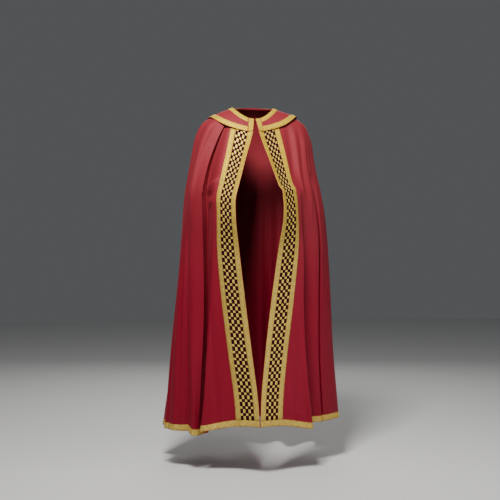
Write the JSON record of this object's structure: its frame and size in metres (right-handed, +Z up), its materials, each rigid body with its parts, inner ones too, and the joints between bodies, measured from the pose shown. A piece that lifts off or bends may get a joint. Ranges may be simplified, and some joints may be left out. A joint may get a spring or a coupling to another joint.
{
  "type": "cope vestment",
  "caption": "Open-fronted full-length vestment mantle hanging in folds, with a hooded collar and gold-edged check bands down the front edges.",
  "frame": {"origin": "middle of the neck, level with the tops of the shoulders, where the wearer carries the garment; 1.49 m above the floor", "axes": "+Z up, -Y to the wearer's front, +X to the wearer's left"},
  "size_m": [0.7881, 0.6066, 1.4259],
  "materials": {
    "red_cloth": "matt plain-weave polyester, deep red",
    "check_band": "woven check of dark purple-black and gold thread",
    "gold_galloon": "flat woven metallic gold ribbon"
  },
  "bodies": {
    "root": {"mantle_right": "red_cloth", "mantle_left": "red_cloth", "collar": "red_cloth", "check_band_right": "check_band", "check_band_left": "check_band", "inner_galloon_right": "gold_galloon", "outer_galloon_right": "gold_galloon", "foot_galloon_right": "gold_galloon", "hem_galloon_right": "gold_galloon", "end_galloon_right": "gold_galloon", "inner_galloon_left": "gold_galloon", "outer_galloon_left": "gold_galloon", "foot_galloon_left": "gold_galloon", "hem_galloon_left": "gold_galloon", "end_galloon_left": "gold_galloon", "neck_galloon": "gold_galloon", "edge_galloon": "gold_galloon"}
  },
  "joints": []
}
